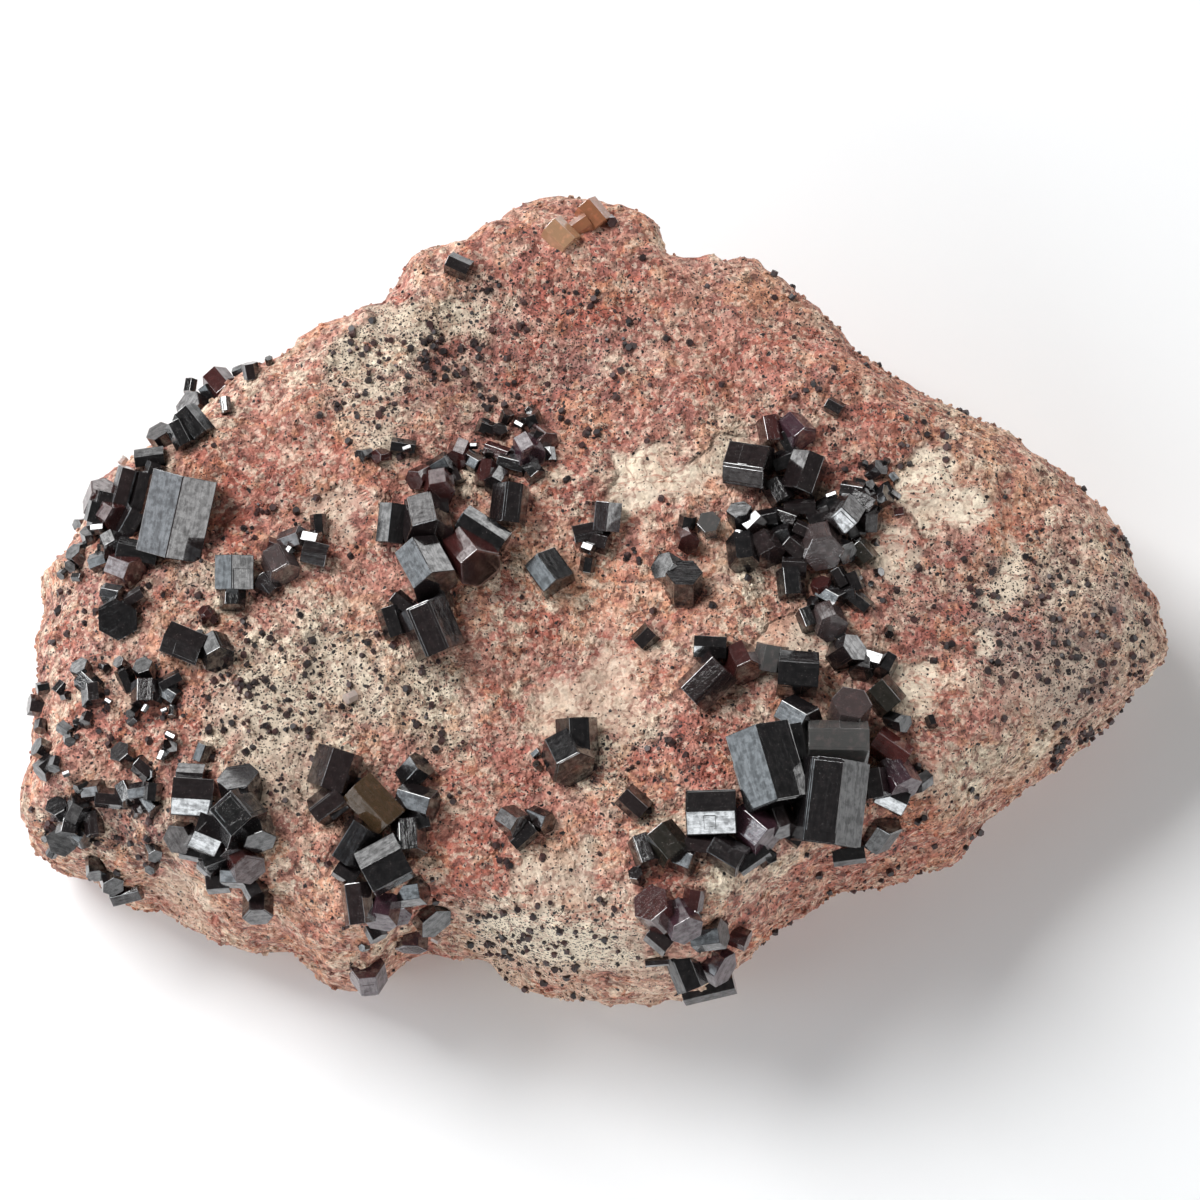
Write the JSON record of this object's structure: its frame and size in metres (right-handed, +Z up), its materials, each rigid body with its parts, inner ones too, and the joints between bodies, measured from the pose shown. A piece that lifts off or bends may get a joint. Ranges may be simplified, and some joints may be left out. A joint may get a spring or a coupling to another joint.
{
  "type": "vanadinite in matrix",
  "caption": "Mineral specimen: a flat slab of red and cream speckled matrix with dark, stout six-sided vanadinite crystals grown over its upper face.",
  "frame": {"origin": "centre of the bounding box's base, on the flat underside that the specimen rests on", "axes": "+Z up out of the crystal-bearing face, +X along the slab's longest side, toward its pointed end"},
  "size_m": [0.1304, 0.0945, 0.0397],
  "materials": {
    "matrix": "matte granular stone, speckled cream, salmon and rust with black grains",
    "crystal_dark": "near-black to dark red-brown crystal with a bright adamantine shine",
    "crystal_tan": "orange-tan crystal with a resinous shine"
  },
  "bodies": {
    "root": {"matrix": "matrix", "crystal_back_dark": "crystal_dark", "crystal_blue_face": "crystal_dark", "crystal_bottom_edge": "crystal_dark", "crystal_bottom_middle": "crystal_dark", "crystal_front_edge": "crystal_dark", "crystal_lower_cube": "crystal_dark", "crystal_lower_wall": "crystal_dark", "crystal_mirror_bar": "crystal_dark", "crystal_round_end": "crystal_dark", "crystal_small_box": "crystal_dark", "crystal_striated": "crystal_dark", "crystal_upper_block": "crystal_dark", "crystal_upper_end": "crystal_dark", "crystals_bottom": "crystal_dark", "crystals_bottom_front": "crystal_dark", "crystals_bright_face": "crystal_dark", "crystals_centre_barrels": "crystal_dark", "crystals_centre_left": "crystal_dark", "crystals_centre_row": "crystal_dark", "crystals_centre_trio": "crystal_dark", "crystals_far_left": "crystal_dark", "crystals_left_middle": "crystal_dark", "crystals_left_pair": "crystal_dark", "crystals_left_patch": "crystal_dark", "crystals_left_red": "crystal_dark", "crystals_left_rim": "crystal_dark", "crystals_low_trio": "crystal_dark", "crystals_lower_centre": "crystal_dark", "crystals_lower_left": "crystal_dark", "crystals_lower_left_corner": "crystal_dark", "crystals_right_chain": "crystal_dark", "crystals_right_large": "crystal_dark", "crystals_right_low": "crystal_dark", "crystals_right_swarm": "crystal_dark", "crystals_small_barrels": "crystal_dark", "crystals_spiky_corner": "crystal_dark", "crystals_tan": "crystal_tan", "crystals_twin": "crystal_dark", "crystals_upper_left": "crystal_dark"}
  },
  "joints": []
}
